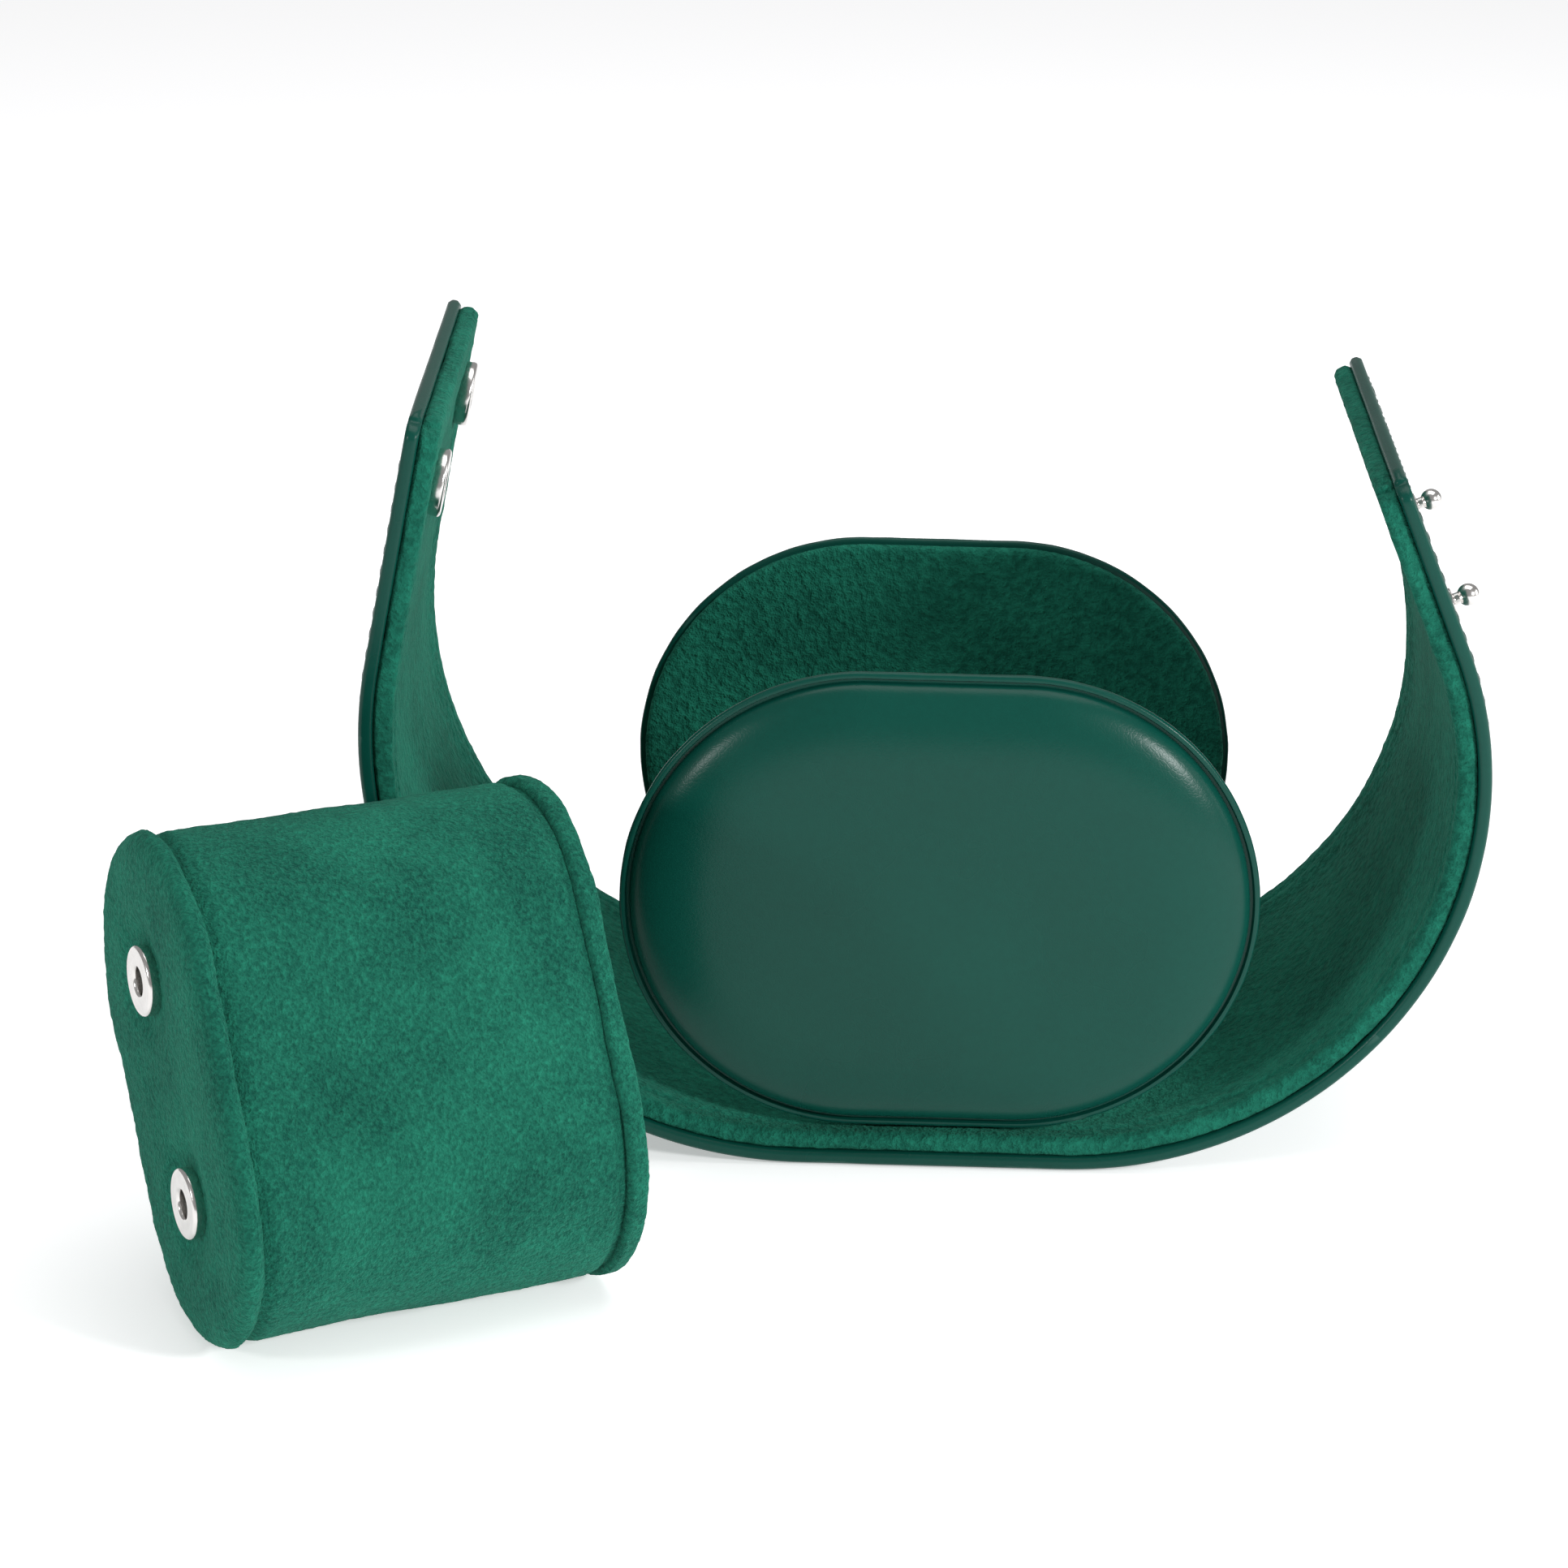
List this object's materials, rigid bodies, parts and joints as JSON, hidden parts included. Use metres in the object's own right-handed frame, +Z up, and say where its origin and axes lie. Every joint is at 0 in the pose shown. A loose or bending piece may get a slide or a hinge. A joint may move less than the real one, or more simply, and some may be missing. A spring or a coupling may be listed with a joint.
{
  "type": "travel roll case",
  "caption": "Open travel roll case: leather strip with suede lining, two padded end panels, ball snaps on its arms, and a loose suede cushion that snaps to the back panel.",
  "frame": {"origin": "on the floor, under the middle of the wrap's flat bottom", "axes": "+X towards the arm with the ball studs, +Y towards the back panel, +Z up"},
  "size_m": [0.21, 0.16, 0.1207],
  "materials": {
    "smooth_leather": "satin",
    "suede": "matt",
    "board": "matt",
    "foam": "matt",
    "polished_metal": "polished",
    "spring_wire": "satin"
  },
  "bodies": {
    "base": {"base_leather": "smooth_leather", "base_lining": "suede", "front_panel_hinge_tape": "suede", "back_panel_hinge_tape": "suede"},
    "left_arm_1": {"left_arm_leather_1": "smooth_leather", "left_arm_lining_1": "suede"},
    "left_arm_2": {"left_arm_leather_2": "smooth_leather", "left_arm_lining_2": "suede"},
    "left_arm_3": {"left_arm_leather_3": "smooth_leather", "left_arm_lining_3": "suede"},
    "left_arm_4": {"left_arm_leather_4": "smooth_leather", "left_arm_lining_4": "suede"},
    "left_arm_5": {"left_arm_leather_5": "smooth_leather", "left_arm_lining_5": "suede"},
    "left_arm_6": {"left_arm_leather_6": "smooth_leather", "left_arm_lining_6": "suede", "strap_snap_rings": "polished_metal", "strap_snap_cups": "polished_metal", "strap_snap_springs": "spring_wire"},
    "right_arm_1": {"right_arm_leather_1": "smooth_leather", "right_arm_lining_1": "suede"},
    "right_arm_2": {"right_arm_leather_2": "smooth_leather", "right_arm_lining_2": "suede"},
    "right_arm_3": {"right_arm_leather_3": "smooth_leather", "right_arm_lining_3": "suede"},
    "right_arm_4": {"right_arm_leather_4": "smooth_leather", "right_arm_lining_4": "suede"},
    "right_arm_5": {"right_arm_leather_5": "smooth_leather", "right_arm_lining_5": "suede"},
    "right_arm_6": {"right_arm_leather_6": "smooth_leather", "right_arm_lining_6": "suede", "strap_snap_studs": "polished_metal", "strap_stud_washers": "polished_metal"},
    "front_panel": {"front_panel_leather": "smooth_leather", "front_panel_board": "board", "front_panel_suede": "suede"},
    "back_panel": {"back_panel_leather": "smooth_leather", "back_panel_board": "board", "back_panel_suede": "suede", "panel_snap_studs": "polished_metal", "panel_stud_washers": "polished_metal"},
    "cushion": {"cushion_core": "foam", "cushion_sleeve": "suede", "cushion_snap_cap": "suede", "cushion_plain_cap": "suede", "cushion_snap_cap_board": "board", "cushion_plain_cap_board": "board", "cushion_snap_rings": "polished_metal", "cushion_snap_cups": "polished_metal", "cushion_snap_springs": "spring_wire"}
  },
  "joints": [
    {"name": "left_arm_crease_1", "type": "hinge", "parent": "base", "child": "left_arm_1", "pos_m": [-0.02077, 0, 0.0052], "axis": [0, 1, 0], "range_deg": [-4, 20.26], "stiffness_Nm_per_rad": 1.2},
    {"name": "left_arm_crease_2", "type": "hinge", "parent": "left_arm_1", "child": "left_arm_2", "pos_m": [-0.04222, 0, 0.00888], "axis": [0, 1, 0], "range_deg": [-2.22, 11.22]},
    {"name": "left_arm_crease_3", "type": "hinge", "parent": "left_arm_2", "child": "left_arm_3", "pos_m": [-0.05998, 0, 0.01854], "axis": [0, 1, 0], "range_deg": [-1.6, 8.04]},
    {"name": "left_arm_crease_4", "type": "hinge", "parent": "left_arm_3", "child": "left_arm_4", "pos_m": [-0.07828, 0, 0.04073], "axis": [0, 1, 0], "range_deg": [-1.6, 8.04]},
    {"name": "left_arm_crease_5", "type": "hinge", "parent": "left_arm_4", "child": "left_arm_5", "pos_m": [-0.08437, 0, 0.06001], "axis": [0, 1, 0], "range_deg": [-2.36, 11.92]},
    {"name": "left_arm_crease_6", "type": "hinge", "parent": "left_arm_5", "child": "left_arm_6", "pos_m": [-0.08417, 0, 0.08023], "axis": [0, 1, 0], "range_deg": [-4.07, 20.57]},
    {"name": "right_arm_crease_1", "type": "hinge", "parent": "base", "child": "right_arm_1", "pos_m": [0.02062, 0, 0.0052], "axis": [0, -1, 0], "range_deg": [-4, 19.2], "stiffness_Nm_per_rad": 1.2},
    {"name": "right_arm_crease_2", "type": "hinge", "parent": "right_arm_1", "child": "right_arm_2", "pos_m": [0.0421, 0, 0.0093], "axis": [0, -1, 0], "range_deg": [-1.94, 9.27]},
    {"name": "right_arm_crease_3", "type": "hinge", "parent": "right_arm_2", "child": "right_arm_3", "pos_m": [0.0593, 0, 0.01985], "axis": [0, -1, 0], "range_deg": [-2.11, 10.12]},
    {"name": "right_arm_crease_4", "type": "hinge", "parent": "right_arm_3", "child": "right_arm_4", "pos_m": [0.07188, 0, 0.03563], "axis": [0, -1, 0], "range_deg": [-2.11, 10.12]},
    {"name": "right_arm_crease_5", "type": "hinge", "parent": "right_arm_4", "child": "right_arm_5", "pos_m": [0.07834, 0, 0.05474], "axis": [0, -1, 0], "range_deg": [-2.11, 10.12]},
    {"name": "right_arm_crease_6", "type": "hinge", "parent": "right_arm_5", "child": "right_arm_6", "pos_m": [0.07791, 0, 0.07491], "axis": [0, -1, 0], "range_deg": [-1.72, 8.23]},
    {"name": "front_panel_lean", "type": "hinge", "parent": "base", "child": "front_panel", "pos_m": [0, -0.0349, 0.0082], "axis": [1, 0, 0], "range_deg": [-10, 20], "stiffness_Nm_per_rad": 0.6},
    {"name": "back_panel_lean", "type": "hinge", "parent": "base", "child": "back_panel", "pos_m": [0, 0.0349, 0.0082], "axis": [-1, 0, 0], "range_deg": [-10, 20], "stiffness_Nm_per_rad": 0.6},
    {"name": "cushion_lift", "type": "slide", "parent": "base", "child": "cushion", "axis": [0, 0, 1], "range_m": [0, 0.12]}
  ],
  "couplings": [
    {"joint": "left_arm_crease_2", "follows": "left_arm_crease_1", "ratio": 0.55347},
    {"joint": "left_arm_crease_3", "follows": "left_arm_crease_1", "ratio": 0.39651},
    {"joint": "left_arm_crease_4", "follows": "left_arm_crease_1", "ratio": 0.39651},
    {"joint": "left_arm_crease_5", "follows": "left_arm_crease_1", "ratio": 0.58789},
    {"joint": "left_arm_crease_6", "follows": "left_arm_crease_1", "ratio": 1.0148},
    {"joint": "right_arm_crease_2", "follows": "right_arm_crease_1", "ratio": 0.48203},
    {"joint": "right_arm_crease_3", "follows": "right_arm_crease_1", "ratio": 0.52618},
    {"joint": "right_arm_crease_4", "follows": "right_arm_crease_1", "ratio": 0.52618},
    {"joint": "right_arm_crease_5", "follows": "right_arm_crease_1", "ratio": 0.52618},
    {"joint": "right_arm_crease_6", "follows": "right_arm_crease_1", "ratio": 0.42815}
  ]
}
